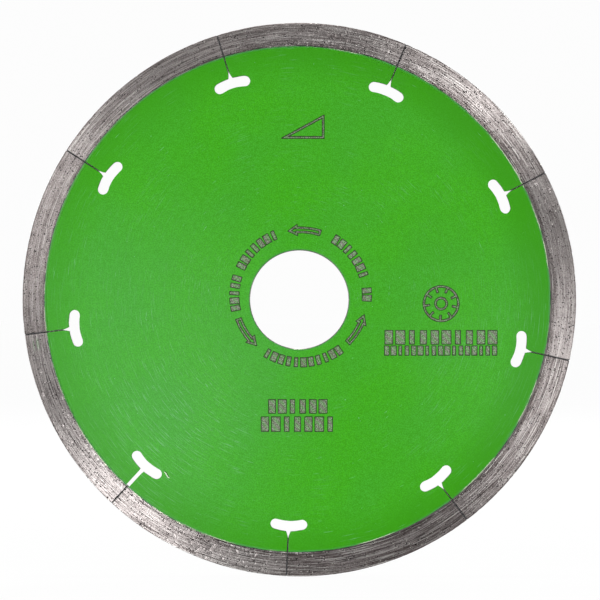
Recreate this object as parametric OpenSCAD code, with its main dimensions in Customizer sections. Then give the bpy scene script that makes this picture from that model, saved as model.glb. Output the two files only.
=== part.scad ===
// Diamond blade for tiles and stone: a painted steel core that carries a sintered diamond rim in nine
// segments. The blade stands upright and spins about Y. Its front face looks towards -Y, and the origin
// is the centre of the bore, half-way through the core. Every piece is drawn lying flat with its front
// face up, and upright() then stands it on its rim.

/* [Blade] */
// Outer diameter, over the rim
blade_d = 125; // [118:1:150]
// Diameter of the arbor bore
bore_d = 22.23; // [16:0.01:23.5]
// Angle from +X to the first slot, in degrees
slot_phase = 27.3; // [0:0.1:39.9]

/* [Steel core] */
// Thickness of the steel between the paint films
core_t = 1.2; // [0.9:0.05:1.4]
// Edge break at both ends of the bore
bore_break = 0.1; // [0.05:0.05:0.3]
// Width of the narrow radial slots
slot_w = 0.3; // [0.2:0.05:0.6]
// Which narrow slot stands open in the steel, counted from the first, or -1 for none
open_slot = 5; // [-1:1:8]
// Width of the open slot
open_slot_w = 0.8; // [0.3:0.1:1]

/* [Relief slots] */
// Distance from the rim to the middle of each curved relief slot
relief_drop = 5.9; // [4:0.1:9]
// Length of a relief slot from end to end
relief_l = 8.4; // [6:0.1:12]
// Width of a relief slot
relief_w = 2.35; // [1.6:0.05:3]
// Bend radius of a relief slot's middle line
relief_bend_r = 11; // [8:0.5:20]
// Width of the funnel where a narrow slot runs into its relief slot
funnel_w = 1; // [0.6:0.1:1.6]
// Height of that funnel
funnel_h = 0.8; // [0.4:0.1:1.5]

/* [Diamond rim] */
// Thickness across the rim
rim_t = 1.6; // [1.5:0.05:2.4]
// Height of the rim beyond the paint
rim_h = 5.4; // [4.5:0.1:8]
// Edge break along both corners of the cutting edge
rim_break = 0.15; // [0.05:0.05:0.3]
// How far the steel tongue reaches into the rim
tongue_h = 1.8; // [1:0.1:3]
// Thickness of that tongue
tongue_t = 0.6; // [0.4:0.05:0.8]
// Diameter of the round keys that lock the rim to the tongue
key_d = 1.4; // [0.8:0.1:1.8]
// Number of keys in each segment
keys = 7; // [3:1:9]

/* [Paint] */
// Thickness of the paint film on each face
coat_t = 0.06; // [0.02:0.01:0.1]
// Width of bare steel around the bore
coat_land = 0.15; // [0.1:0.05:0.5]

/* [Etched marks] */
// Width of an etched line
stroke = 0.42; // [0.3:0.02:0.5]
// Radius of the ring of arrows and dashes around the bore
ring_r = 14.95; // [14.5:0.05:18]
// Sideways offset of that ring from the bore
ring_x = 0.3; // [-0.5:0.1:0.5]
// Upward offset of that ring from the bore
ring_y = 0.8; // [-0.8:0.1:0.8]
// Length of an arrow along the ring
arrow_l = 7.5; // [5:0.1:8]
// Width of an arrow across its barbs
arrow_w = 2.6; // [2:0.1:3]
// Width of an arrow's shaft
shaft_w = 1.35; // [1.1:0.05:1.6]
// Height of the dashes on the ring
dash_h = 2.1; // [1:0.1:2.4]

/* [Hidden] */
SEGMENTS = 9;
$fn = 96;
// Facets of the round ends and keys
SMALL_FN = 32;
STEP = 360 / SEGMENTS;
EPS = 0.01;
END_SWELL = 1.03;
blade_r = blade_d / 2;
bore_r = bore_d / 2;
face_r = blade_r - rim_h;
tongue_r = face_r + tongue_h;
relief_r = face_r - relief_drop;
// The outline of an arrow is a few straight steps around the ring
ARROW_STEPS = 4;
HEAD_L = 2.2;
// Arrows and rows of dashes: where the middle of each lies on the ring, in degrees
ARROW_ANGLES = [86.8, 214.2, 329.5];
// Each row around the ring is its middle angle and its number of dashes
RING_ROWS = [[177.5, 5], [133.5, 7], [38.5, 7], [1.5, 2], [272.5, 11]];
RING_PITCH = 6.5;
// Each straight row is the middle of the row, its number of dashes, their pitch and their height
STRAIGHT_ROWS = [
    [[-0.4, -24.1], 6, 2.3, 3.1],
    [[-0.4, -28.1], 7, 2.45, 3.3],
    [[31.9, -8.5], 10, 2.6, 3.1],
    [[31.9, -11.5], 17, 1.52, 2.1]
];
// Share of the pitch that each dash fills: four widths take turns along every row
DASH_FILL = [0.68, 0.8, 0.44, 0.56];
// Right-angled triangle above the bore
TRIANGLE = [[-4.1, 36.4], [5.6, 36.4], [5.6, 41.7]];
// Round emblem: a plain picture of a slotted disc
EMBLEM_AT = [32, -0.9];
EMBLEM_R = 4.1;
EMBLEM_HUB_R = 1.5;
EMBLEM_TICK = 1.1;

STEEL = [0.6, 0.59, 0.57];
SINTER = [0.47, 0.43, 0.4];
GREEN = [0.25, 0.64, 0.15];

function slot_angle(i) = slot_phase + i * STEP;
function core_slot_w(i) = (i == open_slot) ? max(open_slot_w, slot_w) : slot_w;

// A point of the ring: x runs along it, anticlockwise from the angle a, and y runs outwards
function on_ring(a, x, y) =
    let (turn = a + x / ring_r * 180 / PI)
    [ring_x, ring_y] + (ring_r + y) * [cos(turn), sin(turn)];

// Width of dash i in a row
function dash_w(i, pitch) = pitch * DASH_FILL[i % len(DASH_FILL)];

// Stands a piece that lies flat, front face up, on its rim with its front face towards -Y
module upright() {
    rotate([90, 0, 0]) children();
}

// One curved relief slot, bulging outwards, in the direction a. Its round ends are a hair wider than the
// slot between them, so that every edge crosses the next one at an angle.
module relief_2d(a) {
    end_r = relief_w / 2 * END_SWELL;
    reach = asin((relief_l / 2 - end_r) / relief_bend_r);
    far = relief_bend_r * 2;
    rotate(a) translate([relief_r - relief_bend_r, 0]) {
        intersection() {
            difference() {
                circle(r = relief_bend_r + relief_w / 2);
                circle(r = relief_bend_r - relief_w / 2);
            }
            polygon([[0, 0], far * [cos(reach), -sin(reach)], far * [cos(reach), sin(reach)]]);
        }
        for (side = [-1, 1])
            rotate(side * reach) translate([relief_bend_r, 0]) circle(r = end_r, $fn = SMALL_FN);
    }
}

// One narrow slot from its relief slot out past the rim, with the funnel at its inner end
module narrow_2d(a, w) {
    inner = relief_r + relief_w / 2 - EPS;
    rotate(a) {
        translate([relief_r, -w / 2]) square([blade_r, w]);
        polygon([
            [inner, -funnel_w / 2],
            [inner + funnel_h, -w / 2],
            [inner + funnel_h, w / 2],
            [inner, funnel_w / 2]
        ]);
    }
}

// Every opening in the steel outside the bore
module slots_2d() {
    for (i = [0:SEGMENTS - 1]) {
        relief_2d(slot_angle(i));
        narrow_2d(slot_angle(i), core_slot_w(i));
    }
}

// Round notches around the tongue's edge, which the rim fills
module keys_2d() {
    for (i = [0:SEGMENTS - 1], k = [0:keys - 1])
        rotate(slot_angle(i) + STEP * (k + 0.5) / keys) translate([tongue_r, 0]) circle(d = key_d, $fn = SMALL_FN);
}

// The thin tongue around the core, as far out as it reaches into the rim
module tongue() {
    linear_extrude(tongue_t, center = true) difference() {
        circle(r = tongue_r);
        circle(r = face_r - EPS);
        slots_2d();
        keys_2d();
    }
}

// Steel blank: bore, relief slots, narrow slots and the keyed tongue around its edge
module core() {
    color(STEEL) upright() {
        difference() {
            linear_extrude(core_t, center = true) difference() {
                circle(r = face_r);
                circle(r = bore_r);
                slots_2d();
            }
            for (side = [0, 180])
                rotate([side, 0, 0]) translate([0, 0, core_t / 2 - bore_break])
                    cylinder(r1 = bore_r, r2 = bore_r + 2 * bore_break, h = 2 * bore_break);
        }
        tongue();
    }
}

// One diamond segment, counted from 1: it runs from slot i - 1 to slot i and wraps the steel tongue
module rim_segment(i) {
    half = rim_t / 2;
    color(SINTER) upright() difference() {
        rotate_extrude(angle = STEP, start = slot_angle(i - 1)) polygon([
            [face_r, -half],
            [blade_r - rim_break, -half],
            [blade_r, rim_break - half],
            [blade_r, half - rim_break],
            [blade_r - rim_break, half],
            [face_r, half]
        ]);
        tongue();
        for (a = [slot_angle(i - 1), slot_angle(i)])
            rotate(a) translate([0, -slot_w / 2, -rim_t]) cube([2 * blade_r, slot_w, 2 * rim_t]);
    }
}

// One paint film, lying on its own bottom face, without marks
module film_2d() {
    difference() {
        circle(r = face_r);
        circle(r = bore_r + coat_land);
        slots_2d();
    }
}

// Turns a filled shape into a line along its edge
module outline() {
    difference() {
        children();
        offset(delta = -stroke) children();
    }
}

// Arrow on the ring that points anticlockwise, with its middle at the angle a
module arrow_2d(a) {
    neck = arrow_l / 2 - HEAD_L;
    run = [for (k = [0:ARROW_STEPS]) -arrow_l / 2 + (neck + arrow_l / 2) * k / ARROW_STEPS];
    polygon(concat(
        [for (x = run) on_ring(a, x, -shaft_w / 2)],
        [on_ring(a, neck, -arrow_w / 2), on_ring(a, arrow_l / 2, 0), on_ring(a, neck, arrow_w / 2)],
        [for (k = [ARROW_STEPS:-1:0]) on_ring(a, run[k], shaft_w / 2)]
    ));
}

// A row of n dashes that follows the ring, read clockwise, with its middle at the angle a
module ring_row_2d(a, n) {
    pitch = RING_PITCH * PI / 180 * ring_r;
    for (i = [0:n - 1])
        translate([ring_x, ring_y]) rotate(a + RING_PITCH * ((n - 1) / 2 - i)) translate([ring_r, 0])
            square([dash_h, dash_w(i, pitch)], center = true);
}

// A straight row of n dashes around the point at
module straight_row_2d(at, n, pitch, h) {
    for (i = [0:n - 1])
        translate(at + [pitch * (i - (n - 1) / 2), 0]) square([dash_w(i, pitch), h], center = true);
}

// Round emblem: a disc with a hub and a short tick for each segment
module emblem_2d() {
    translate(EMBLEM_AT) {
        for (r = [EMBLEM_R, EMBLEM_HUB_R]) difference() {
            circle(r = r);
            circle(r = r - stroke);
        }
        for (i = [0:SEGMENTS - 1])
            rotate(slot_angle(i)) translate([EMBLEM_R - stroke - EMBLEM_TICK, -stroke / 2])
                square([EMBLEM_TICK + stroke / 2, stroke]);
    }
}

// Everything etched through the front film down to the steel
module marks_2d() {
    for (a = ARROW_ANGLES) outline() arrow_2d(a);
    for (row = RING_ROWS) ring_row_2d(row[0], row[1]);
    for (row = STRAIGHT_ROWS) straight_row_2d(row[0], row[1], row[2], row[3]);
    outline() polygon(TRIANGLE);
    emblem_2d();
}

// Paint on the front face, with the marks cut through it
module front_coat() {
    color(GREEN) upright() translate([0, 0, core_t / 2]) linear_extrude(coat_t) difference() {
        film_2d();
        marks_2d();
    }
}

// Paint on the rear face, which has no marks
module rear_coat() {
    color(GREEN) upright() translate([0, 0, -core_t / 2 - coat_t]) linear_extrude(coat_t) film_2d();
}

core();
for (i = [1:SEGMENTS])
    rim_segment(i);
front_coat();
rear_coat();
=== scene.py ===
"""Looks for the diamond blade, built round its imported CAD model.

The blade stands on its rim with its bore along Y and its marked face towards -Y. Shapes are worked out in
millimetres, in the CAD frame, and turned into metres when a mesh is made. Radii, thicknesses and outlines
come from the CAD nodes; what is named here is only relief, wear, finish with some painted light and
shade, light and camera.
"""
import math
from collections import namedtuple

import bpy
import numpy as np
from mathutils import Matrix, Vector, geometry, kdtree


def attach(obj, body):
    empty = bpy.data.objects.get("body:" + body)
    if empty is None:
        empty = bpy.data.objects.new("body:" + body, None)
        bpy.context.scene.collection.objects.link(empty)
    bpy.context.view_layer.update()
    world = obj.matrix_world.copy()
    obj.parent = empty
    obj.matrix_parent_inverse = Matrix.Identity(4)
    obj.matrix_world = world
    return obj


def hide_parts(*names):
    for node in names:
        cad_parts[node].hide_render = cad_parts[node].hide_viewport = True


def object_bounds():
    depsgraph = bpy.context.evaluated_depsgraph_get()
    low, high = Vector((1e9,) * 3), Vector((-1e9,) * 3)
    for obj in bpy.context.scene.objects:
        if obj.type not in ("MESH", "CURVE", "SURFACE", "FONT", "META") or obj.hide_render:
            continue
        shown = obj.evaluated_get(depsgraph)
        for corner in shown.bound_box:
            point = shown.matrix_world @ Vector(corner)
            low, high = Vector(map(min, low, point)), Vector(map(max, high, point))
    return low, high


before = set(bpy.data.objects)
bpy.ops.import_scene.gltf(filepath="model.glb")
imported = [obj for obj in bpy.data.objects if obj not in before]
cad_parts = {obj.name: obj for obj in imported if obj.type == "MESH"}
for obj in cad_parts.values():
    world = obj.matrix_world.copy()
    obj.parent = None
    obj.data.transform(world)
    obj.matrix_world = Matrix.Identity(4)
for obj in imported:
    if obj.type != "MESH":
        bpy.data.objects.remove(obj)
CAD_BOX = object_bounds()

# A millimetre in the scene's metres
MM = 0.001
# Places that are this near in millimetres are one place
SAME = 0.001

# --- Sizes read from the CAD nodes, in millimetres ---


def cad_points(node):
    """A CAD node's vertices as rows of x, y, z."""
    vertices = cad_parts[node].data.vertices
    flat = np.empty(3 * len(vertices))
    vertices.foreach_get("co", flat)
    return flat.reshape(-1, 3) / MM


def radii(points):
    """Each point's distance from the bore's axis."""
    return np.hypot(points[:, 0], points[:, -1])


RIM_NODES = sorted(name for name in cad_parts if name.startswith("rim_segment"))
CORE_POINTS = cad_points("core")
RIM_POINTS = np.vstack([cad_points(name) for name in RIM_NODES])
BLADE_R = radii(RIM_POINTS).max()
FACE_R = radii(cad_points("rear_coat")).max()
TONGUE_R = radii(CORE_POINTS).max()
BORE_R = radii(CORE_POINTS).min()
RIM_Y = abs(RIM_POINTS[:, 1]).max()
CORE_Y = abs(CORE_POINTS[:, 1]).max()
COAT_Y = abs(cad_points("front_coat")[:, 1]).max()
TONGUE_Y = abs(CORE_POINTS[radii(CORE_POINTS) > (FACE_R + TONGUE_R) / 2, 1]).max()
BORE_BREAK = radii(CORE_POINTS[abs(CORE_POINTS[:, 1]) > CORE_Y - SAME]).min() - BORE_R
RIM_BREAK = BLADE_R - radii(RIM_POINTS[abs(RIM_POINTS[:, 1]) > RIM_Y - SAME]).max()
SHARE = 2 * math.pi / len(RIM_NODES)


def segment_span(node):
    """The angles of the two slots beside a rim segment, and half a slot's width."""
    points = cad_points(node)
    middle = math.atan2(points[:, 2].mean(), points[:, 0].mean())
    outer = points[radii(points) > BLADE_R - 0.01]
    turn = (np.arctan2(outer[:, 2], outer[:, 0]) - middle + math.pi) % (2 * math.pi) - math.pi
    centre = middle + (turn.min() + turn.max()) / 2
    half = BLADE_R * math.sin((SHARE - (turn.max() - turn.min())) / 2)
    return centre - SHARE / 2, centre + SHARE / 2, half


SPANS = {name: segment_span(name) for name in RIM_NODES}
SLOT_ANGLES = np.array([SPANS[name][0] for name in RIM_NODES])
SLOT_HALF = SPANS[RIM_NODES[0]][2]

# --- Relief, wear and painted light and shade, in millimetres ---

# How far apart the points of the faces' outlines and of the marks' outlines are
OUTLINE_STEP, MARK_STEP = 0.25, 0.18
# Of two corners nearer than this, an outline keeps one
SHORTEST = 0.15
# An outline has a corner where it turns by more than the first, a surface by more than the second
SHARP_TURN, SHARP_EDGE = math.radians(25), math.radians(32)
# Cut edges wander in the relief slots only: not at all and fully, this far inside the rim
FRAYED = (3.6, 4.2)
# The paint was sprayed a little off centre: its edge is a circle round this point
PAINT_MIDDLE = (-0.42, 0.14)
PAINT_R = FACE_R - 0.01
# Where a painted cream highlight lies just outside the paint, low on the left and high on the right: x, z
# and reach
HIGHLIGHT_SPOTS = ((-50, -28, 42), (41, 40, 20))
# Dross in the narrow slots, a dark sheet of metal that stands in for the shade in them.
# The gap it leaves, and how far from mid-thickness it is whole and gone
SHADE_DROSS_GAP = 0.01
SHADE_DROSS_REACH = (0.34, 0.62)
# The rim's surface is a grid this fine across and along
RIM_STEP = 0.2
# Each segment was sintered on its own and came out a little paler or darker; the values also paint light
# and shade, paler where the rim catches more light and darker where it catches less
SEGMENT_TONE_AND_SHADING = (0, 0, 0.1, -0.2, 0.55, 0.25, -0.5, -0.2, 0.3)
# How much fainter each segment's streaks are: 0 for full streaks, 1 for none
SEGMENT_CALM = (0, 0.3, 0.2, 0.55, 0.2, 0, 0, 0, 0.55)
# A gouge in the paint beside the relief slot of this slot number: angle past the slot, radius, length
NICK_SLOT, NICK_TURN, NICK_R, NICK_L = 5, math.radians(5.6), 49.6, 2.2
# Its cross-section: places across it and how far the paint stands up there, a groove and then a lip
NICK_LIP = 0.05
NICK_SECTION = ((-0.36, 0), (-0.2, -NICK_LIP), (0, NICK_LIP), (0.14, 0.02), (0.3, 0))
# How a film's walls round over: depths below its face and how far each lies inside its outline
FILM_EDGE = ((0, 0.045), (0.01, 0.014), (0.028, 0))
# How far a film's face lies below the CAD's
SUNK = 0.008
# The broken edges of the steel's slots and outer edge
STEEL_BREAK = 0.03


def unit(rows):
    """Each row scaled to length one."""
    return rows / np.maximum(np.linalg.norm(rows, axis=-1, keepdims=True), 1e-9)


def smooth(low, high, x):
    """0 below low, 1 above high and a soft step between them; high may be the smaller."""
    t = np.clip((np.asarray(x, float) - low) / (high - low), 0, 1)
    return t * t * (3 - 2 * t)


NOISE_TABLE = 64


def noise(x, y, seed):
    """Smooth noise between 0 and 1 on a lattice of whole numbers."""
    table = np.random.default_rng(seed).random((NOISE_TABLE, NOISE_TABLE))
    x, y = np.broadcast_arrays(np.asarray(x, float), np.asarray(y, float))
    left, low = np.floor(x).astype(int), np.floor(y).astype(int)
    u, v = smooth(0, 1, x - left), smooth(0, 1, y - low)

    def value(i, j):
        return table[(left + i) % NOISE_TABLE, (low + j) % NOISE_TABLE]

    near = value(0, 0) * (1 - u) + value(1, 0) * u
    far = value(0, 1) * (1 - u) + value(1, 1) * u
    return near * (1 - v) + far * v


def swing(points, size, seed):
    """Smooth noise between -1 and 1 over rows of x, z, with bumps of that size."""
    return 2 * noise(points[:, 0] / size + 200, points[:, -1] / size + 200, seed) - 1


def raised(spots, y):
    """Points x, z as rows of x, y, z."""
    return np.column_stack([spots[:, 0], np.full(len(spots), y), spots[:, 1]])


def slot_sides(points):
    """Each point's distance along and across its nearest slot's middle line, and that slot's number."""
    angle = np.arctan2(points[:, -1], points[:, 0])
    apart = (angle[:, None] - SLOT_ANGLES + math.pi) % (2 * math.pi) - math.pi
    number = np.abs(apart).argmin(1)
    turn = apart[np.arange(len(points)), number]
    reach = radii(points)
    return reach * np.cos(turn), reach * np.sin(turn), number


# --- Outlines of the painted faces ---

# at: points x, z with the material on the left; out: the mitred way out of it; kind: edge, bore or mark
Ring = namedtuple("Ring", "at out kind")


def border_loops(faces):
    """The closed loops of corner numbers round some joined faces, each from its lowest number on."""
    edges = {ends for face in faces for ends in zip(face, [*face[1:], face[0]])}
    onward = {a: b for a, b in sorted(edges) if (b, a) not in edges}
    found = []
    while onward:
        here = next(iter(onward))
        loop = []
        while here in onward:
            loop.append(here)
            here = onward.pop(here)
        found.append(loop)
    return found


def face_outlines(node, y):
    """The closed outlines of a CAD node's flat face at y, each with the face on its left seen from -Y."""
    corners, number = np.unique(np.round(cad_points(node), 4), axis=0, return_inverse=True)
    level = abs(corners[:, 1] - y) < SAME
    faces = [number.ravel()[list(face.vertices)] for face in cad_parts[node].data.polygons]
    loops = border_loops([face.tolist() for face in faces if level[face].all()])
    return [corners[loop][:, [0, 2]] for loop in loops]


def even(loop, step):
    """A closed outline with evenly spaced points. Its sharp corners stay, and its arcs are smoothed."""
    back = unit(loop - np.roll(loop, 1, 0))
    ahead = unit(np.roll(loop, -1, 0) - loop)
    hard = np.flatnonzero((back * ahead).sum(1) < math.cos(SHARP_TURN))
    hard = hard[np.linalg.norm(loop[hard] - loop[np.roll(hard, 1)], axis=1) > SHORTEST]
    ends = hard if len(hard) else np.array([0])
    points, fixed = [], []
    for first, last in zip(ends, [*ends[1:], ends[0] + len(loop)]):
        run = loop[np.arange(first, last + 1) % len(loop)]
        along = np.concatenate([[0], np.cumsum(np.linalg.norm(np.diff(run, axis=0), axis=1))])
        count = max(1, math.ceil(along[-1] / step))
        stops = np.linspace(0, along[-1], count + 1)[:-1]
        points += [np.column_stack([np.interp(stops, along, run[:, k]) for k in (0, 1)])]
        fixed += [len(hard) > 0] + [False] * (count - 1)
    points = np.vstack(points)
    fixed = np.array(fixed)[:, None]
    for _ in range(3):
        blurred = (2 * points + np.roll(points, 1, 0) + np.roll(points, -1, 0)) / 4
        points = np.where(fixed, points, blurred)
    return points


def way_out(loop):
    """At each point of a closed outline, the mitred direction out of the material on its left."""
    right = unit(np.roll(loop, -1, 0) - loop)[:, ::-1] * (1, -1)
    before = np.roll(right, 1, 0)
    spread = 1 + (right * before).sum(1, keepdims=True)
    return (right + before) / np.maximum(spread, 0.12)


def signed_area(loop):
    """An outline's area, negative where it runs clockwise seen from the front."""
    x, z = loop.T
    return (x * np.roll(z, -1) - np.roll(x, -1) * z).sum() / 2


FILM_LOOPS = sorted(face_outlines("front_coat", -COAT_Y), key=lambda loop: -abs(signed_area(loop)))


def film_rings():
    """The outlines of the front paint: its outer edge with the slots, the bore's land and every mark."""
    outer, bore, *marks = FILM_LOOPS
    at = even(outer, OUTLINE_STEP)
    on_rim = abs(radii(at) - FACE_R) < 0.02
    at[on_rim] = unit(at[on_rim]) * FACE_R
    frayed = smooth(FACE_R - FRAYED[0], FACE_R - FRAYED[1], radii(at))
    drift = 0.045 * swing(at, 1.3, 12) + 0.015 * swing(at, 0.4, 13)
    edge = at + way_out(at) * (frayed * drift)[:, None]
    land = unit(even(bore, OUTLINE_STEP)) * radii(bore).mean()
    rings = [Ring(edge, way_out(edge), "edge"), Ring(land, way_out(land), "bore")]
    for loop in marks:
        at = even(loop, MARK_STEP)
        at = at + way_out(at) * 0.022 * swing(at, 0.35, 11)[:, None]
        rings.append(Ring(at, way_out(at), "mark"))
    return rings


FILM = film_rings()
EDGE = FILM[0]
EDGE_ALONG, EDGE_ACROSS, EDGE_SLOT = slot_sides(EDGE.at)


def narrow_start():
    """How far from the axis the narrow slots' straight walls begin."""
    loop = FILM_LOOPS[0]
    ahead = np.roll(loop, -1, 0)
    straight = np.linalg.norm(ahead - loop, axis=1) > (FACE_R - radii(loop).min()) / 3
    return min(radii(loop[straight]).min(), radii(ahead[straight]).min())


NARROW_R = narrow_start()
IN_NARROW = (abs(abs(EDGE_ACROSS) - SLOT_HALF) < 0.05) & (EDGE_ALONG > NARROW_R - 0.05)
ON_RIM = abs(radii(EDGE.at) - FACE_R) < SAME

# --- Filling outlines with triangles ---


def tree_of(points):
    """A search tree over rows of x, z."""
    tree = kdtree.KDTree(len(points))
    for number, (x, z) in enumerate(points):
        tree.insert((x, z, 0), number)
    tree.balance()
    return tree


def distance(tree, points):
    """Each point's distance to the nearest one in the tree."""
    return np.array([tree.find((x, z, 0))[2] for x, z in points])


MARK_TREE = tree_of(np.vstack([even(ring.at, 0.06) for ring in FILM if ring.kind == "mark"]))
RING_TREE = tree_of(np.vstack([ring.at for ring in FILM]))


def scattered(step, seed):
    """Jittered points over the whole disc, clear of its outlines."""
    count = int(FACE_R / step) + 1
    x, z = np.meshgrid(np.arange(-count, count + 1), np.arange(-count, count + 1))
    points = np.column_stack([(x + z % 2 / 2).ravel(), z.ravel()]) * step
    points = points + (np.random.default_rng(seed).random(points.shape) - 0.5) * step * 0.4
    return clear_of_rings(points[radii(points) < FACE_R - step / 2], 0.3)


def beside_marks(gaps):
    """Rows of points on the paint, that far from the marks' outlines."""
    points = np.vstack([ring.at - ring.out * gap for ring in FILM if ring.kind == "mark" for gap in gaps])
    return points[distance(MARK_TREE, points) > min(gaps) * 0.85]


def clear_of_rings(points, gap):
    """The points that lie at least gap away from every outline."""
    return points[distance(RING_TREE, points) > gap]


def fill(rings, extra):
    """Triangles that follow the rings and pass through the extra points.

    Returns all points, the triangles' corner numbers and, for each triangle, the set of rings around it.
    """
    points = np.vstack([*rings, extra])
    owner = np.repeat(np.arange(len(rings)), [len(ring) for ring in rings])
    edges = []
    for ring in rings:
        start = len(edges)
        edges += [(start + k, start + (k + 1) % len(ring)) for k in range(len(ring))]
    result = geometry.delaunay_2d_cdt([Vector(p) for p in points], edges, [], 0, 1e-5)
    corners, out_edges, faces, from_points, from_edges, _ = result
    number = {}
    for here, origin in enumerate(from_points):
        number[here] = origin[0] if origin else len(points)
        if not origin:
            points = np.vstack([points, corners[here]])
    walls = {frozenset(edge): owner[kept[0]] for edge, kept in zip(out_edges, from_edges) if kept}
    triangles = np.array([[number[v] for v in face] for face in faces])
    return points, triangles, rings_around(faces, walls)


def edges_of(face):
    """A face's edges, each as the set of its two ends."""
    return [frozenset(ends) for ends in zip(face, [*face[1:], face[0]])]


def rings_around(faces, walls):
    """For each triangle, the set of rings around it. walls gives the number of the ring on an edge."""
    beside = {}
    for place, face in enumerate(faces):
        for edge in edges_of(face):
            beside.setdefault(edge, []).append(place)
    around = {}
    queue = []
    for edge, pair in beside.items():
        if len(pair) == 1 and pair[0] not in around:
            around[pair[0]] = frozenset([walls[edge]]) if edge in walls else frozenset()
            queue.append(pair[0])
    while queue:
        place = queue.pop()
        for edge in edges_of(faces[place]):
            inside = around[place] ^ {walls[edge]} if edge in walls else around[place]
            for other in beside[edge]:
                if other not in around:
                    around[other] = inside
                    queue.append(other)
    return [around[place] for place in range(len(faces))]


# --- Meshes ---

# Shares of a bake's picture: its empty border, and the height of a segment's unrolled strips
UV_BORDER, UV_STRIPS = 0.01, 0.92


def add(name, data):
    """A new object in the scene."""
    added = bpy.data.objects.new(name, data)
    bpy.context.scene.collection.objects.link(added)
    return added


def make_piece(node, suffix, material, points, faces, uvs=None, values=()):
    """A smooth mesh object that stands for a CAD node. values are names and what the points carry."""
    used, number = np.unique(np.concatenate([np.ravel(face) for face in faces]), return_inverse=True)
    ends = np.cumsum([len(face) for face in faces])[:-1]
    mesh = bpy.data.meshes.new(node + suffix)
    mesh.from_pydata((points[used] * MM).tolist(), [], [part.tolist() for part in np.split(number, ends)])
    for key, numbers in values:
        layer = mesh.attributes.new(key, "FLOAT", "POINT")
        layer.data.foreach_set("value", np.full(len(points), numbers, np.float32)[used])
    if uvs is not None:
        layer = mesh.uv_layers.new(name="OFBake")
        layer.data.foreach_set("uv", np.asarray(uvs, np.float32).ravel())
    mesh.polygons.foreach_set("use_smooth", np.ones(len(mesh.polygons), bool))
    mesh.set_sharp_from_angle(angle=SHARP_EDGE)
    mesh.materials.append(material)
    piece = add(node + suffix, mesh)
    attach(piece, "root")
    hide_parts(node)


def wall_faces(rows):
    """Quads that join each closed row of point numbers to the next one down."""
    faces = []
    for upper, lower in zip(rows, rows[1:]):
        faces += np.column_stack([np.roll(upper, -1), upper, lower, np.roll(lower, -1)]).tolist()
    return faces


def plate(rings, walled, levels, extra, front_y):
    """A closed flat solid: the same triangles on both faces, and walls along some of its rings.

    walled are the kinds of ring that get walls. levels are functions from a ring to its points x, y, z on
    one level of its walls, front level first. front_y gives y for points of the front face and is told
    which of them lie inside rings without walls. Returns the points, the faces, the number of front faces
    and which points belong to what the rings without walls enclose.
    """
    shapes = [[level(ring) for level in levels] if ring.kind in walled else [] for ring in rings]
    flat = [shape[0][:, [0, 2]] if shape else ring.at for ring, shape in zip(rings, shapes)]
    spots, triangles, around = fill(flat, extra)
    walls = {k for k, shape in enumerate(shapes) if shape}
    solid = np.array([len(walls & rings_here) % 2 == 1 for rings_here in around])
    marked = np.array([len(rings_here - walls) % 2 == 1 for rings_here in around])[solid]
    triangles = triangles[solid]
    enclosed = np.zeros(len(spots), bool)
    enclosed[triangles[marked].ravel()] = True
    deep = enclosed.copy()
    deep[triangles[~marked].ravel()] = False
    front = raised(spots, front_y(spots, deep))
    back = raised(spots, shapes[0][-1][0, 1])
    parts = [front, back]
    faces = triangles.tolist() + (triangles[:, ::-1] + len(spots)).tolist()
    start, size = 0, 2 * len(spots)
    for ring, shape in zip(rings, shapes):
        count = len(ring.at)
        own = np.arange(start, start + count)
        start += count
        if not shape:
            continue
        front[own], back[own] = shape[0], shape[-1]
        rows = [own]
        for middle in shape[1:-1]:
            parts.append(middle)
            rows.append(np.arange(size, size + count))
            size += count
        rows.append(own + len(spots))
        faces += wall_faces(rows)
    points = np.vstack(parts)
    return points, faces, len(triangles), np.pad(enclosed, (0, len(points) - len(spots)))


def disc_uvs(points, faces, fronts):
    """Bake coordinates for a film: its face fills the picture and its hidden underside a corner of it."""
    rows = []
    for place, face in enumerate(faces):
        x, z = points[face, 0], points[face, 2]
        flat = 0.5 + np.column_stack([x, z]) / (2 * FACE_R) * (1 - 2 * UV_BORDER)
        if fronts <= place < 2 * fronts:
            flat = flat * UV_BORDER / 2
        rows.append(flat)
    return np.vstack(rows)


# --- Paint films ---


def paint_reach(points):
    """How far out from the axis the sprayed paint reaches in each point's direction."""
    way = unit(points[:, [0, -1]])
    place = way * FACE_R
    ragged = 0.045 * swing(place, 0.45, 21) + 0.05 * swing(place, 1.7, 22)
    return np.minimum(PAINT_R + way @ np.array(PAINT_MIDDLE) + ragged, FACE_R - 0.004)


def paint_line(ring):
    """The paint's outline on the steel: pulled in from the rim where the spray was off centre."""
    if ring.kind == "bore":
        return ring.at + unit(ring.at) * 0.05 * swing(ring.at, 0.6, 23)[:, None]
    if ring.kind == "mark":
        return ring.at
    reach = radii(ring.at)
    fixed = FACE_R - 3
    pulled = fixed + (reach - fixed) * (paint_reach(ring.at) - fixed) / (FACE_R - fixed)
    return unit(ring.at) * np.where(reach > fixed, pulled, reach)[:, None]


def film_level(depth, inset):
    """A level of a film's walls, so far below its face and so far inside its outline."""

    def place(ring):
        return raised(paint_line(ring) - ring.out * inset, depth - COAT_Y)

    return place


FILM_LEVELS = [film_level(*place) for place in (*FILM_EDGE, (COAT_Y - CORE_Y, 0))]


def nick_points():
    """A short gouge with a raised lip: points x, z and how far each stands above the paint."""
    angle = SLOT_ANGLES[NICK_SLOT] + NICK_TURN
    across = np.array([math.cos(angle), math.sin(angle)])
    along = np.array([-across[1], across[0]])
    rows = []
    for step in np.linspace(-1, 1, 23):
        bend = 0.2 * math.sin(2.6 * step)
        fade = 1 - step**4
        middle = across * (NICK_R + bend) + along * step * NICK_L / 2
        for offset, height in NICK_SECTION:
            rows.append([*(middle + across * offset), height * fade])
    return np.array(rows)


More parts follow.
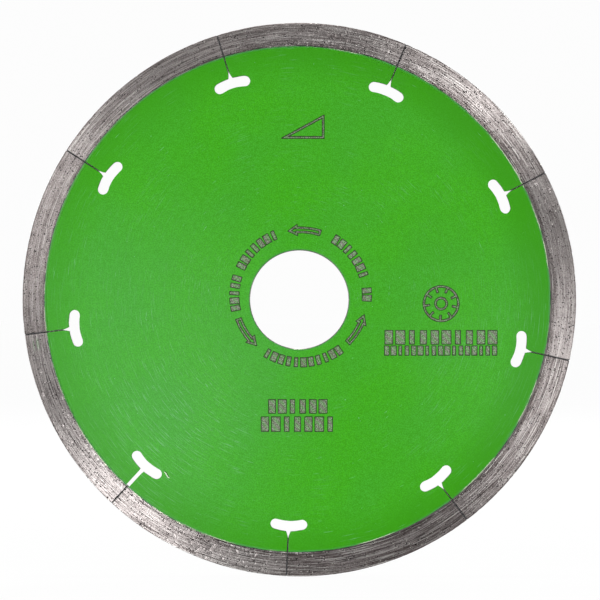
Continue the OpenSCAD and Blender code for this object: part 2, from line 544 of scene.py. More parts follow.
def nick_height(spots):
    """How far each point x, z stands above the paint for belonging to the gouge."""
    nick = nick_points()
    spread = ((spots[:, None] - nick[None, :, :2]) ** 2).sum(-1)
    closest = spread.argmin(1)
    on_nick = spread[np.arange(len(spots)), closest] < 1e-6
    return np.where(on_nick, nick[closest, 2], 0)


def sprayed(spots, seed):
    """y of a film's face in slow waves."""
    return SUNK - COAT_Y + 0.005 * swing(spots, 6, seed) + 0.003 * swing(spots, 2.4, seed + 1)


def front_height(spots, marked):
    """y of the front paint's face, with a lip burnt up along the marks, and the nick."""
    lip = 0.01 * (1 - smooth(0.05, 0.22, distance(MARK_TREE, spots)))
    return sprayed(spots, 31) - lip - nick_height(spots)


def rear_height(spots, marked):
    """y of the rear paint's face before it is turned round."""
    return sprayed(spots, 35)


def build_front_coat(material):
    """The front paint film with every mark cut through it."""
    nick = nick_points()[:, :2]
    loose = np.vstack([beside_marks((0.11, 0.24)), scattered(1.1, 33)])
    loose = loose[distance(tree_of(nick), loose) > 0.2]
    extra = np.vstack([loose, nick])
    points, faces, fronts, _ = plate(FILM, ("edge", "bore", "mark"), FILM_LEVELS, extra, front_height)
    burn = 1 - smooth(0.02, 0.2, distance(MARK_TREE, points[:, [0, 2]]))
    # The gouge's lip gets a painted highlight on torn paint, its groove painted shade through the burn
    torn = nick_height(points[:, [0, 2]]) / NICK_LIP
    values = [("burn", burn - np.minimum(torn, 0)), ("torn", torn)]
    uvs = disc_uvs(points, faces, fronts)
    make_piece("front_coat", "_paint", material, points, faces, uvs, values)


def build_rear_coat(material):
    """The plain film on the rear face, made like the front one and turned to face +Y."""
    extra = scattered(1.1, 34)
    points, faces, fronts, _ = plate(FILM[:2], ("edge", "bore"), FILM_LEVELS, extra, rear_height)
    faces = [face[::-1] for face in faces]
    uvs = disc_uvs(points, faces, fronts)
    make_piece("rear_coat", "_paint", material, points * (1, -1, 1), faces, uvs)


# --- Steel core ---


def tongue_outline():
    """The keyed edge of the tongue, as angles in order and the radius at each."""
    points = np.vstack(face_outlines("core", -TONGUE_Y))
    points = points[radii(points) > FACE_R + 0.05]
    angles = np.arctan2(points[:, 1], points[:, 0])
    order = angles.argsort()
    return angles[order], radii(points)[order]


TONGUE_ANGLES, TONGUE_RADII = tongue_outline()
SLOT_WAYS = np.column_stack([np.cos(SLOT_ANGLES), np.sin(SLOT_ANGLES)])


def shade_dross(y):
    """How nearly the metal left in a narrow slot closes it at that distance from mid-thickness, darkening
    the slot in place of its shade.
    """
    return 1 - smooth(*SHADE_DROSS_REACH, abs(np.asarray(y, float)))


def closing(across, share):
    """How far a slot's wall moves towards its middle line to close the slot by that share."""
    return np.sign(across) * (abs(across) - SHADE_DROSS_GAP / 2) * share


def core_level(y):
    """One level of the steel's walls: slots with dross that darkens them in place of shade, a chamfered
    bore and a keyed tongue.
    """
    rim_corner = ON_RIM & ~(np.roll(ON_RIM, 1) & np.roll(ON_RIM, -1))

    def place(ring):
        if ring.kind == "bore":
            at = unit(ring.at) * (BORE_R + max(0, BORE_BREAK - CORE_Y + abs(y)))
        else:
            at = ring.at - ring.out * max(0, STEEL_BREAK - CORE_Y + abs(y))
            share = IN_NARROW * shade_dross(y) * smooth(NARROW_R, NARROW_R + 0.8, EDGE_ALONG)
            side = SLOT_WAYS[EDGE_SLOT][:, ::-1] * (-1, 1)
            at = at - side * closing(EDGE_ACROSS, share)[:, None]
            if abs(y) < TONGUE_Y:
                angle = np.arctan2(at[:, 1], at[:, 0])
                reach = np.interp(angle, TONGUE_ANGLES, TONGUE_RADII, period=2 * math.pi)
                at = np.where((ON_RIM & ~rim_corner)[:, None], unit(at) * reach[:, None], at)
                at = at + rim_corner[:, None] * SLOT_WAYS[EDGE_SLOT] * (TONGUE_R - FACE_R)
        return raised(at, y)

    return place


def mark_floor_points(step, seed):
    """Jittered points inside the marks."""
    rng = np.random.default_rng(seed)
    rows = []
    for ring in FILM:
        low, high = ring.at.min(0), ring.at.max(0)
        if ring.kind == "mark" and signed_area(ring.at) < 0:
            count = np.maximum(2, np.ceil((high - low) / step).astype(int))
            x, z = np.meshgrid(*(np.linspace(*ends) for ends in zip(low, high, count)))
            spots = np.column_stack([x.ravel(), z.ravel()])
            rows.append(spots + (rng.random(spots.shape) - 0.5) * step * 0.5)
    return clear_of_rings(np.vstack(rows), 0.07)


def steel_height(spots, marked):
    """y of the steel's front face, which the marks are burnt into."""
    etched = 0.014 + 0.012 * noise(spots[:, 0] / 0.3 + 300, spots[:, 1] / 0.3 + 300, 41)
    return -CORE_Y + np.where(marked, etched, 0)


def build_core(material):
    """The steel blank with its tongue; its face shows inside the marks and beside the rim."""
    shelf = CORE_Y - TONGUE_Y
    depths = [0, STEEL_BREAK, BORE_BREAK, shelf - 0.01, shelf + 0.01, CORE_Y * 0.8]
    half = [depth - CORE_Y for depth in depths]
    levels = [core_level(y) for y in [*half, *[-y for y in half[::-1]]]]
    extra = np.vstack([mark_floor_points(0.2, 42), scattered(2.5, 43)])
    points, faces, _, etched = plate(FILM, ("edge", "bore"), levels, extra, steel_height)
    # The marks' floors darken towards their walls: scorch, and painted shade at the walls' foot
    burn = 1 - smooth(0.03, 0.17, distance(MARK_TREE, points[:, [0, 2]]))
    values = [("etched", etched), ("burn", burn)]
    make_piece("core", "_steel", material, points, faces, values=values)


# --- Sintered rim ---


def rim_section():
    """The rim's cross-section as a grid: its points' radii and y, and which cells are solid."""
    inner = np.linspace(FACE_R + 0.05, TONGUE_R, math.ceil((TONGUE_R - FACE_R) / RIM_STEP))
    outer = np.linspace(TONGUE_R, BLADE_R - RIM_BREAK, math.ceil((BLADE_R - TONGUE_R) / RIM_STEP))[1:]
    rows = np.concatenate([[FACE_R], inner, outer, [BLADE_R]])
    side = np.concatenate([[RIM_Y], np.linspace(RIM_Y - RIM_BREAK, TONGUE_Y, 3), [TONGUE_Y / 3]])
    cols = np.concatenate([-side, side[::-1]])
    r, y = np.meshgrid(rows, cols, indexing="ij")
    rounding = RIM_BREAK * 0.3
    for col, way in ((0, 1), (-1, -1)):
        y[0, col] += way * 0.03
        r[-1, col] -= rounding
        y[-1, col] += way * rounding
    mid_r, mid_y = (rows[1:] + rows[:-1]) / 2, (cols[1:] + cols[:-1]) / 2
    solid = ~((mid_r < TONGUE_R)[:, None] & (abs(mid_y) < TONGUE_Y)[None])
    return r.ravel(), y.ravel(), solid


def section_cells(solid):
    """The corner numbers of each solid cell, anticlockwise in the plane of r and y."""
    rows, cols = np.nonzero(solid)
    across = solid.shape[1] + 1
    first = rows * across + cols
    return np.column_stack([first, first + across, first + across + 1, first + 1])


def ground_depth(along, across, seed):
    """How deep grinding grooves, pores and torn-out grains reach into the rim's side."""
    rng = np.random.default_rng(seed)
    depth = 0.018 * smooth(0.45, 0.85, noise(along / 9, across / 0.42, seed + 1))
    depth = depth + 0.012 * noise(along / 3.5, across / 0.24, seed + 2)
    depth = depth + 0.012 * smooth(0.55, 0.9, noise(along / 0.7, across / 0.5, seed + 3))
    band = 1 - smooth(0.5, 1.6, across)
    depth = depth + band * 0.02 * noise(along / 0.8, across / 0.3, seed + 4)
    for _ in range(90):
        a, c = rng.uniform(0, along.max()), rng.beta(0.8, 1.1) * (BLADE_R - FACE_R)
        size, deep = rng.uniform(0.1, 0.2), rng.uniform(0.03, 0.08)
        apart = ((along - a) / 1.4) ** 2 + (across - c) ** 2
        depth = depth + deep * np.exp(-apart / size**2)
    return depth


def edge_wear(along, y, seed):
    """How far the cutting edge falls short of its full radius: grain, chips and slow waves."""
    wear = 0.035 * noise(along / 0.45, y / 0.4 + 50, seed) + 0.03 * noise(along / 3, 0, seed + 1)
    return wear + 0.06 * smooth(0.72, 0.95, noise(along / 0.9, y / 0.9 + 70, seed + 2))


def segment_grid(count, border, inner):
    """Each mesh point's step along a segment and its corner of the cross-section."""
    step, corner = np.meshgrid(np.arange(count + 1), border, indexing="ij")
    step = np.concatenate([step.ravel(), np.zeros(len(inner), int), np.full(len(inner), count)])
    return step, np.concatenate([corner.ravel(), inner, inner])


def segment_faces(count, cells, border, inner):
    """A segment's faces: strips from each step to the next, then its two ends."""
    around = len(border)
    spot = np.zeros(cells.max() + 1, int)
    spot[border] = np.arange(around)
    spot[inner] = np.arange(len(inner)) + around * (count + 1)
    low = spot[cells]
    high = low + np.where(low < around, around * count, len(inner))
    here = np.arange(around)
    ahead = np.roll(here, -1)
    row = np.arange(count)[:, None] * around
    strips = np.stack([row + here, row + ahead, row + ahead + around, row + here + around], -1)
    return np.vstack([strips.reshape(-1, 4), low[:, ::-1], high]).tolist()


def segment_uvs(count, r, y, cells, border):
    """Bake coordinates for those faces: the strips unrolled, and the ends side by side beyond them."""
    section = np.column_stack([r[border], y[border]])
    run = np.concatenate([[0], np.cumsum(np.linalg.norm(np.roll(section, -1, 0) - section, axis=1))])
    run = UV_BORDER + UV_STRIPS * run / run[-1]
    u = np.arange(count + 1) / count * (1 - 2 * UV_BORDER) + UV_BORDER
    u0, v0 = np.meshgrid(u[:-1], run[:-1], indexing="ij")
    u1, v1 = np.meshgrid(u[1:], run[1:], indexing="ij")
    strips = np.stack([u0, v0, u0, v1, u1, v1, u1, v0], -1).reshape(-1, 4, 2)
    ends = np.column_stack([(r - FACE_R) / (BLADE_R - FACE_R), y / RIM_Y / 2 + 0.5])
    ends = ends * (0.45, 0.05) + (UV_BORDER, 0.94)
    return np.vstack([strips, ends[cells[:, ::-1]], ends[cells] + (0.5, 0)])


def worn(reach, across, along, side, edge, seed):
    """Radii and y of a segment's points, worn where they lie on its sides or its cutting edge."""
    depth = np.where(across < 0, ground_depth(along, reach - FACE_R, seed),
                     ground_depth(along, reach - FACE_R, seed + 50))
    across = across - np.sign(across) * np.where(side, depth, 0)
    wear = edge_wear(along, across, seed + 20) * smooth(BLADE_R - 0.5, BLADE_R, reach)
    return reach - np.where(side | edge, wear, 0), across


def between_slots(node, share, reach, across):
    """x, z of points at that share of the way from a segment's first slot to its last, dross included: it
    stands in for the slots' shade.
    """
    first, last, half = SPANS[node]
    gap = np.arcsin(half / reach)
    angle = first + gap + share * (last - first - 2 * gap)
    at = np.column_stack([np.cos(angle), np.sin(angle)]) * reach[:, None]
    fade = shade_dross(across) * (1 - smooth(BLADE_R - 0.12, BLADE_R - 0.02, reach))
    for slot, sign, end in ((first, 1, 0), (last, -1, 1)):
        way = np.array([-math.sin(slot), math.cos(slot)])
        at = at - way * (closing(sign * half, fade) * (share == end))[:, None]
    return at


def build_segment(node, material):
    """One sintered segment: ground sides, a worn cutting edge, and dross in the slots at its ends that
    stands in for their shade.
    """
    number = int(node.rsplit("_", 1)[1])
    r, y, solid = rim_section()
    cells = section_cells(solid)
    border = np.array(border_loops(cells.tolist())[0])
    inner = np.setdiff1d(np.unique(cells), border)
    length = (SPANS[node][1] - SPANS[node][0]) * BLADE_R
    count = math.ceil(length / RIM_STEP)
    step, corner = segment_grid(count, border, inner)
    row, column = np.divmod(corner, solid.shape[1] + 1)
    side = column % solid.shape[1] == 0
    edge = row == solid.shape[0]
    share = step / count
    reach, across = worn(r[corner], y[corner], share * length, side, edge, 100 * number)
    points = raised(between_slots(node, share, reach, across), across)
    # Soot on the segment's ends and the strips beside them: laser soot, and painted shade in the slots
    soot = ((step == 0) | (step == count)) * np.where(side, 0.4, 1)
    values = [("tone", SEGMENT_TONE_AND_SHADING[number - 1]), ("calm", SEGMENT_CALM[number - 1]), ("soot", soot)]
    faces = segment_faces(count, cells, border, inner)
    uvs = segment_uvs(count, r, y, cells, border)
    make_piece(node, "_sintered", material, points, faces, uvs, values)


# --- Finishes ---


class Look:
    """A material being built: each method adds nodes and returns what they give."""

    def __init__(self, name):
        self.material = bpy.data.materials.new(name)
        self.material.use_nodes = True
        self.tree = self.material.node_tree
        self.tree.nodes.clear()
        self.place = self.node("TexCoord", {}, "Object")
        self.flat = self.vector("MULTIPLY", self.place, (1, 0, 1))
        self.reach = self.vector("LENGTH", self.flat, output="Value")

    def node(self, kind, inputs, output=0, **settings):
        """One node, its settings made and its inputs linked or filled in."""
        node = self.tree.nodes.new("ShaderNode" + kind)
        for key, value in settings.items():
            setattr(node, key, value)
        for key, value in inputs.items():
            if isinstance(value, bpy.types.NodeSocket):
                self.tree.links.new(value, node.inputs[key])
            else:
                node.inputs[key].default_value = value
        return node.outputs[output] if node.outputs else node

    def math(self, operation, a, b=0, c=0):
        """Arithmetic on numbers."""
        return self.node("Math", {0: a, 1: b, 2: c}, operation=operation)

    def times(self, a, b):
        """The product of two numbers."""
        return self.math("MULTIPLY", a, b)

    def scaled(self, value, by, plus):
        """A number scaled by another, plus a third."""
        return self.math("MULTIPLY_ADD", value, by, plus)

    def largest(self, first, *others):
        """The largest of some numbers."""
        for other in others:
            first = self.math("MAXIMUM", first, other)
        return first

    def vector(self, operation, a, b=(0, 0, 0), output=0):
        """Arithmetic on vectors."""
        return self.node("VectorMath", {0: a, 1: b}, output, operation=operation)

    def step(self, value, low, high, least=0, most=1):
        """A soft step from least to most as value goes from low to high."""
        inputs = {"Value": value, "From Min": low, "From Max": high, "To Min": least, "To Max": most}
        return self.node("MapRange", inputs, interpolation_type="SMOOTHSTEP")

    def mix(self, share, a, b):
        """b laid over a by that share."""
        a, b = ((*c, 1) if isinstance(c, tuple) else c for c in (a, b))
        return self.node("Mix", {0: share, 6: a, 7: b}, 2, data_type="RGBA")

    def lay(self, colour, over, value, *steps):
        """over laid on that colour by a soft step of value."""
        return self.mix(self.step(value, *steps), colour, over)

    def grain(self, size, detail=2, rough=0.5):
        """Even noise with grains of that many millimetres."""
        inputs = {"Vector": self.place, "Scale": 1 / (size * MM), "Detail": detail, "Roughness": rough}
        return self.node("TexNoise", inputs)

    def streaks(self, along, across, detail=2, rough=0.5):
        """Noise drawn out round the axis: streaks that many millimetres long and wide at the rim."""
        ways = self.vector("NORMALIZE", self.flat)
        turn = self.vector("MULTIPLY", ways, (BLADE_R / along, 0, BLADE_R / along))
        sideways = self.vector("DOT_PRODUCT", self.place, (0, 1 / MM, 0), output="Value")
        out = self.scaled(self.reach, 1 / (across * MM), sideways)
        at = self.vector("ADD", turn, self.node("CombineXYZ", {1: out}))
        return self.node("TexNoise", {"Vector": at, "Scale": 1, "Detail": detail, "Roughness": rough})

    def away(self, x, z):
        """Distance, seen from the front, from a point given in millimetres."""
        return self.vector("DISTANCE", self.flat, (x * MM, 0, z * MM), output="Value")

    def beyond_paint(self):
        """How far outside the ragged edge of the sprayed paint a place lies."""
        ragged = self.scaled(self.grain(0.4, 2), 0.35 * MM, self.away(*PAINT_MIDDLE))
        return self.math("SUBTRACT", ragged, (PAINT_R + 0.17) * MM)

    def edge_highlight_and_shadow(self, beyond, colour):
        """That colour with a painted cream highlight in patches and a sooty line of painted shadow just
        outside the paint, and the share of that line.
        """
        border = self.step(beyond, 0.22 * MM, 0.12 * MM)
        near = [self.step(self.away(x, z), reach * MM, 0.7 * reach * MM) for x, z, reach in HIGHLIGHT_SPOTS]
        patchy = self.times(self.largest(*near), self.step(self.streaks(6, 3, 1), 0.35, 0.5))
        colour = self.mix(self.times(border, patchy), colour, CREAM_HIGHLIGHT)
        soot = self.times(border, self.step(self.streaks(3, 0.3, 1), 0.47, 0.56, 0, 0.95))
        return self.mix(soot, colour, SOOT_AND_SHADE), soot

    def layer(self, name):
        """A number that the mesh carries at each point."""
        return self.node("Attribute", {}, "Fac", attribute_name=name)

    def finish(self, height, depth, **inputs):
        """Ends the tree in a Principled shader with relief of that depth, ground round the axis."""
        named = {key.replace("_", " "): value for key, value in inputs.items()}
        named["Normal"] = self.node("Bump", {"Height": height, "Distance": depth * MM})
        ways = {"vector_type": "VECTOR", "convert_from": "OBJECT", "convert_to": "WORLD"}
        named["Tangent"] = self.node("VectorTransform", {0: self.flat}, **ways)
        shader = self.node("BsdfPrincipled", named)
        self.node("OutputMaterial", {0: shader})
        return self.material


GREEN = (0.056, 0.43, 0.003)
GREEN_DEEP = (0.029, 0.245, 0.001)
GREEN_HAZE = (0.056, 0.36, 0.034)
# Pale scratches, also used for painted sheen where the paint catches the light
CHALK_AND_SHEEN = (0.34, 0.57, 0.44)
THIN_PAINT = (0.06, 0.25, 0.065)
# Torn paint on the gouge's lip, with a painted highlight
TORN_AND_LIT = (0.75, 0.85, 0.68)
# A painted highlight: the cream line where the paint's edge catches the light
CREAM_HIGHLIGHT = (0.6, 0.62, 0.48)
EDGE_PAINT = (0.045, 0.3, 0.006)
SCORCH = (0.02, 0.03, 0.012)
RIM_DARK = (0.12, 0.095, 0.091)
RIM_PALE = (0.735, 0.677, 0.662)
RIM_WHITE = (0.86, 0.83, 0.8)
SCRATCH = (0.085, 0.07, 0.068)
PORE = (0.02, 0.017, 0.018)
# Pale specks of diamond grit, also painted glints
GRIT_AND_GLINT = (0.75, 0.74, 0.68)
# Soot, and painted shade along the paint's edge and in the rim's slots
SOOT_AND_SHADE = (0.012, 0.012, 0.016)
STEEL = (0.33, 0.31, 0.295)
ETCHED = (0.12, 0.145, 0.085)
ASH = (0.42, 0.48, 0.4)
RESIDUE = (0.075, 0.28, 0.045)
CHARRED = (0.055, 0.052, 0.048)
# Pale painted sheen on the front paint's fine scratches, where they catch the light most: middle x, z,
# reach, even share and share in lines
SHEEN_SPOTS = ((-35, -16, 52, 0.055, 0.11), (-31, -29, 24, 0.015, 0.24), (48, -12, 34, 0.025, 0.1))
# A smudge of paint on the rim: x, z
SMUDGE = (-59.6, -10.2)
# The wave texture's scale for the hatching inside the marks, for lengths in millimetres
HATCH = 2.2 / 6.28


def painted(look):
    """The paint's colour with its painted sheen, roughness and relief."""
    ground = look.streaks(6, 0.16, 2, 0.6)
    lines = look.step(ground, 0.54, 0.76)
    colour = look.lay(GREEN, GREEN_HAZE, look.grain(16, 1), 0.35, 0.7, 0, 0.6)
    colour = look.lay(colour, GREEN_HAZE, look.grain(0.6, 2, 0.7), 0.3, 0.7, 0.2, 0.55)
    colour = look.lay(colour, GREEN_DEEP, look.grain(0.2, 1), 0.3, 0.7, 0.15, 0.85)
    colour = look.lay(colour, GREEN_DEEP, look.reach, 46 * MM, 57 * MM, 0, 0.5)
    colour = look.lay(colour, GREEN_DEEP, look.away(-6, -1), 51 * MM, 61 * MM, 0, 0.55)
    # Painted sheen: the paint's streaks painted pale where they catch the light
    for x, z, reach, wash, lined in SHEEN_SPOTS:
        sheen = look.scaled(lines, lined, wash)
        sheen_fade = look.step(look.away(x, z), reach * MM, reach * 0.15 * MM)
        colour = look.mix(look.times(sheen_fade, sheen), colour, CHALK_AND_SHEEN)
    faint = look.times(lines, look.step(look.grain(9, 1), 0.45, 0.72, 0, 0.12))
    hairs = look.step(look.streaks(4, 0.12, 0), 0.8, 0.88, 0, 0.4)
    hairs = look.times(hairs, look.step(look.grain(7, 1), 0.45, 0.6))
    specks = look.step(look.grain(0.34, 0), 0.86, 0.9, 0, 0.6)
    for scratched in (faint, hairs, specks):
        colour = look.mix(scratched, colour, CHALK_AND_SHEEN)
    rough = look.step(ground, 0.3, 0.7, 0.38, 0.5)
    height = look.scaled(ground, 0.6, look.times(look.grain(0.7, 1), 0.5))
    return colour, rough, height


def paint_look():
    """Sprayed green paint on ground steel: fine speckle, scratches with painted sheen, thin edges with a
    painted cream highlight, scorched marks and a gouge with painted highlight and shade.
    """
    look = Look("green_paint")
    colour, rough, height = painted(look)
    beyond = look.beyond_paint()
    patchy = look.step(look.streaks(8, 2, 1), 0.35, 0.65, 0.35, 1)
    thin = look.times(look.step(beyond, -0.55 * MM, -0.02 * MM), patchy)
    colour = look.mix(thin, colour, THIN_PAINT)
    # A painted cream highlight in patches along the paint's edge
    patchy = look.step(look.streaks(9, 5, 1), 0.5, 0.6, 0, 0.7)
    lip_highlight = look.times(look.step(beyond, -0.2 * MM, -0.1 * MM), patchy)
    colour = look.mix(lip_highlight, colour, CREAM_HIGHLIGHT)
    colour = look.lay(colour, THIN_PAINT, look.reach, (BORE_R + 0.6) * MM, (BORE_R + 0.2) * MM, 0, 0.5)
    # Scorch along the marks with painted shade in the gouge's groove, then the lip's painted highlight
    uneven = look.scaled(look.grain(0.25), 0.5, -0.25)
    burn = look.math("ADD", look.layer("burn"), uneven)
    colour = look.lay(colour, SCORCH, burn, 0.25, 0.85)
    colour = look.lay(colour, TORN_AND_LIT, look.layer("torn"), 0.2, 0.8)
    inputs = {"Specular_IOR_Level": 0.16, "Anisotropic": 0.45}
    return look.finish(height, 0.012, Base_Color=colour, Roughness=rough, **inputs)


def dots(look, spacing, size):
    """Round dots of that radius in millimetres, scattered at random on any flat face."""
    inputs = {"Vector": look.place, "Scale": 1 / (spacing * MM)}
    near = look.node("TexVoronoi", inputs, "Distance")
    return look.step(near, size / spacing, size / spacing * 0.65)


def rim_metal(look, inner, outer):
    """The rim's ground metal: its colour with each segment's tone and painted light and shade, its broad
    streaks and its fine ones.
    """
    wide = look.streaks(16, 0.5, 2)
    lively = look.math("SUBTRACT", 1, look.layer("calm"))
    fine = look.math("SUBTRACT", look.streaks(7, 0.14, 1.5, 0.65), 0.5)
    fine = look.scaled(fine, lively, 0.5)
    tone = look.scaled(wide, 0.13, look.times(fine, 0.6))
    grains = ((look.grain(2.4, 2), 0.12), (look.grain(0.26, 1), 0.32))
    # Each segment's tone, with its painted light and shade, is added here
    for part, share in (*grains, (look.layer("tone"), 0.12), (outer, -0.12), (inner, -0.1)):
        tone = look.scaled(part, share, tone)
    colour = look.lay(RIM_DARK, RIM_PALE, tone, 0.385, 0.84)
    ridge = look.step(look.streaks(11, 0.17, 0.5), 0.6, 0.66, 0, 0.7)
    colour = look.mix(look.times(ridge, lively), colour, RIM_WHITE)
    scratch = look.step(look.streaks(8, 0.16, 1), 0.58, 0.63, 0, 0.9)
    return look.mix(look.times(scratch, lively), colour, SCRATCH), wide, fine


def rim_holes(look, inner):
    """Pores all over, more of them near the core, and short gouges."""
    near_core = look.times(dots(look, 0.5, 0.14), inner)
    gouges = look.step(look.streaks(0.9, 0.15, 1), 0.66, 0.71, 0, 0.95)
    return look.largest(dots(look, 0.78, 0.17), near_core, gouges)


def rim_look():
    """Sintered metal ground round the axis, with pores, specks of diamond painted bright as glints,
    painted light and shade by segment and along the paint, soot with painted shade at the slots, and a
    little stray paint.
    """
    look = Look("sintered_rim")
    inner = look.step(look.reach, (FACE_R + 1.3) * MM, (FACE_R + 0.2) * MM)
    outer = look.step(look.reach, (BLADE_R - 0.35) * MM, (BLADE_R - 0.15) * MM)
    colour, wide, fine = rim_metal(look, inner, outer)
    hole = rim_holes(look, inner)
    colour = look.mix(hole, colour, PORE)
    # Specks of diamond grit, pale and diffuse: painted glints that stay bright where the rim is dim
    glint = look.step(look.grain(0.28, 0), 0.74, 0.81)
    colour = look.mix(glint, colour, GRIT_AND_GLINT)
    beyond = look.beyond_paint()
    # A painted cream highlight and a line of soot and painted shadow along the paint's edge
    colour, step_shadow = look.edge_highlight_and_shadow(beyond, colour)
    smudge = look.times(look.step(look.away(*SMUDGE), 2 * MM, 0.4 * MM), look.step(wide, 0.45, 0.6))
    stray = look.largest(look.step(beyond, 0.05 * MM, -0.05 * MM), look.times(smudge, 0.5))
    paint = look.lay(THIN_PAINT, EDGE_PAINT, beyond, -0.12 * MM, -0.3 * MM)
    colour = look.mix(stray, colour, paint)
    # Soot and painted shade at the segment's ends, in the slots
    soot = look.layer("soot")
    colour = look.mix(soot, colour, SOOT_AND_SHADE)
    plain = look.largest(stray, soot, step_shadow, look.times(outer, 0.5), look.times(glint, 0.7))
    metal = look.scaled(plain, -0.85, 0.85)
    rough = look.scaled(glint, -0.2, look.step(fine, 0.3, 0.75, 0.38, 0.5))
    height = look.scaled(hole, -1.2, look.scaled(fine, 0.7, wide))
    return look.finish(height, 0.03, Base_Color=colour, Metallic=metal, Roughness=rough, Anisotropic=0.95)


def mark_floor(look):
    """The floor of a mark: steel etched in a hatched pattern, with paint residue, ash, and scorch that
    darkens towards its walls with painted shade.
    """
    crust = look.grain(0.2, 1, 0.7)
    hatch = look.node("TexWave", {"Vector": look.place, "Scale": HATCH / MM, "Distortion": 1.5},
                      "Fac", wave_type="BANDS", bands_direction="DIAGONAL")
    floor = look.lay(ETCHED, RESIDUE, hatch, 0.25, 0.75, 0, 0.7)
    floor = look.lay(floor, ASH, crust, 0.48, 0.68, 0, 0.75)
    floor = look.lay(floor, SCORCH, crust, 0.5, 0.3, 0, 0.7)
    return look.lay(floor, SCORCH, look.layer("burn"), 0.15, 0.9, 0, 0.95)


def steel_look():
    """Ground steel: scorched floors inside the marks with painted shade at their walls, walls cut by
    laser, and a painted cream highlight and sooty painted shadow beside the paint.
    """
    look = Look("bare_steel")
    fine = look.streaks(7, 0.12, 2, 0.6)
    colour = look.lay(STEEL, RIM_DARK, fine, 0.3, 0.75)
    seam = look.step(look.reach, (FACE_R - 3) * MM, (FACE_R - 2.5) * MM)
    # Beside the paint's edge the steel gets the painted cream highlight and the sooty painted shadow
    edge_lit_and_shaded, soot = look.edge_highlight_and_shadow(look.beyond_paint(), colour)
    colour = look.mix(seam, colour, edge_lit_and_shaded)
    etched = look.layer("etched")
    colour = look.mix(etched, colour, mark_floor(look))
    facing = look.node("NewGeometry", {}, "True Normal")
    flat = look.math("ABSOLUTE", look.vector("DOT_PRODUCT", facing, (0, 1, 0), output="Value"))
    wall = look.times(look.step(flat, 0.7, 0.3), look.step(look.reach, 13 * MM, 14 * MM))
    cut = look.lay(SOOT_AND_SHADE, CHARRED, look.grain(0.3, 2), 0.35, 0.7)
    colour = look.mix(wall, colour, cut)
    rough = look.scaled(etched, 0.2, look.step(fine, 0.3, 0.7, 0.32, 0.45))
    plain = look.largest(etched, look.times(seam, soot), wall)
    metal = look.scaled(plain, -0.7, 0.9)
    return look.finish(fine, 0.01, Base_Color=colour, Metallic=metal, Roughness=rough, Anisotropic=0.6)


# --- Stage ---

LENS, SENSOR = 200, 36
# Width of the picture where the blade stands, and the blade's place in it
PICTURE_W = 135.4
AIM = (0.15, -0.08)
# The floor: radius in metres, sides and glow
FLOOR_R, FLOOR_SIDES, FLOOR_GLOW = 8, 64, 0.957
# How bright the backdrop is to the eye, and the grey room to the blade
BACKDROP, ROOM = (0.98, 0.98, 0.98, 1), (0.05, 0.05, 0.05, 1)
# Square lights: name, turn round the bore's axis, lean away from the front, size in metres and watts
SOFTBOXES = (
    ("key", 232, 38, 0.3, 5.1),
    ("side", 337.5, 40, 0.47, 3.7),
    ("left", 160, 42, 0.65, 4.1),
    ("corner", 44, 48, 0.28, 2.5),
    ("upper", 101, 50, 0.45, 1.3),
    ("rear_key", 50, 140, 0.5, 9),
    ("rear_fill", 150, 135, 0.5, 7),
    ("edge_right", -8, 106, 0.5, 2.5),
    ("edge_left", 188, 106, 0.5, 2.5),
)


def place_camera():
    """A long lens square to the marked face."""
    camera = bpy.data.cameras.new("camera")
    camera.lens, camera.sensor_width = LENS, SENSOR
    camera.clip_end = 4 * FLOOR_R
    eye = add("camera", camera)
    distance = PICTURE_W * LENS / SENSOR + RIM_Y
    eye.location = Vector((AIM[0], -distance, AIM[1])) * MM
    eye.rotation_euler = (math.pi / 2, 0, 0)
    bpy.context.scene.camera = eye


def softbox(name, turn, lean, size, watts):
    """One square light, a metre from the bore and facing it."""
    light = bpy.data.lights.new(name, "AREA")
    light.size, light.energy = size, watts
    lamp = add(name, light)
    turn, lean = math.radians(turn), math.radians(lean)
    way = Vector((math.sin(lean) * math.cos(turn), -math.cos(lean), math.sin(lean) * math.sin(turn)))
    lamp.location = way
    lamp.rotation_euler = way.to_track_quat("Z", "Y").to_euler()
    lamp.visible_camera = False


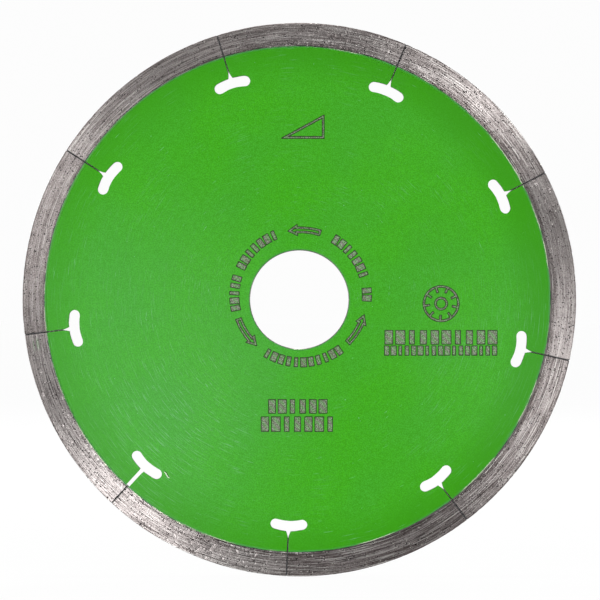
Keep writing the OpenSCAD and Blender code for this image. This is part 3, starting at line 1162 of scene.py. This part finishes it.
def place_lights():
    """Softboxes on the marked face, the rear and both sides, and a soft sun straight above."""
    for row in SOFTBOXES:
        softbox(*row)
    top = bpy.data.lights.new("top", "SUN")
    top.energy, top.angle = 3, math.radians(8)
    add("top", top)


def make_surround():
    """A white backdrop to the eye that lights the blade as a grey room does."""
    world = bpy.data.worlds.new("surround")
    world.use_nodes = True
    nodes, links = world.node_tree.nodes, world.node_tree.links
    nodes.clear()
    path, mixed = nodes.new("ShaderNodeLightPath"), nodes.new("ShaderNodeMixShader")
    links.new(path.outputs["Is Camera Ray"], mixed.inputs[0])
    for place, colour in ((1, ROOM), (2, BACKDROP)):
        light = nodes.new("ShaderNodeBackground")
        light.inputs["Color"].default_value = colour
        links.new(light.outputs[0], mixed.inputs[place])
    links.new(mixed.outputs[0], nodes.new("ShaderNodeOutputWorld").inputs[0])
    bpy.context.scene.world = world
    bpy.context.scene.view_settings.view_transform = "Standard"


def lay_floor():
    """A plain pale floor under the rim. Lights below it reach the blade, and none bounces off it."""
    mesh = bpy.data.meshes.new("floor")
    turns = [2 * math.pi * k / FLOOR_SIDES for k in range(FLOOR_SIDES)]
    corners = [(FLOOR_R * math.cos(turn), FLOOR_R * math.sin(turn), CAD_BOX[0][2]) for turn in turns]
    mesh.from_pydata(corners, [], [range(FLOOR_SIDES)])
    material = bpy.data.materials.new("pale_floor")
    material.use_nodes = True
    shader = material.node_tree.nodes["Principled BSDF"]
    inputs = {"Base Color": (0.02, 0.02, 0.02, 1), "Roughness": 0.9, "Specular IOR Level": 0,
              "Emission Color": (1, 1, 1, 1), "Emission Strength": FLOOR_GLOW}
    for key, value in inputs.items():
        shader.inputs[key].default_value = value
    mesh.materials.append(material)
    floor = add("floor", mesh)
    floor.visible_diffuse = floor.visible_glossy = floor.visible_shadow = False


place_camera()
place_lights()
make_surround()
lay_floor()

paint = paint_look()
build_core(steel_look())
build_front_coat(paint)
build_rear_coat(paint)
sintered = rim_look()
for node in RIM_NODES:
    build_segment(node, sintered)
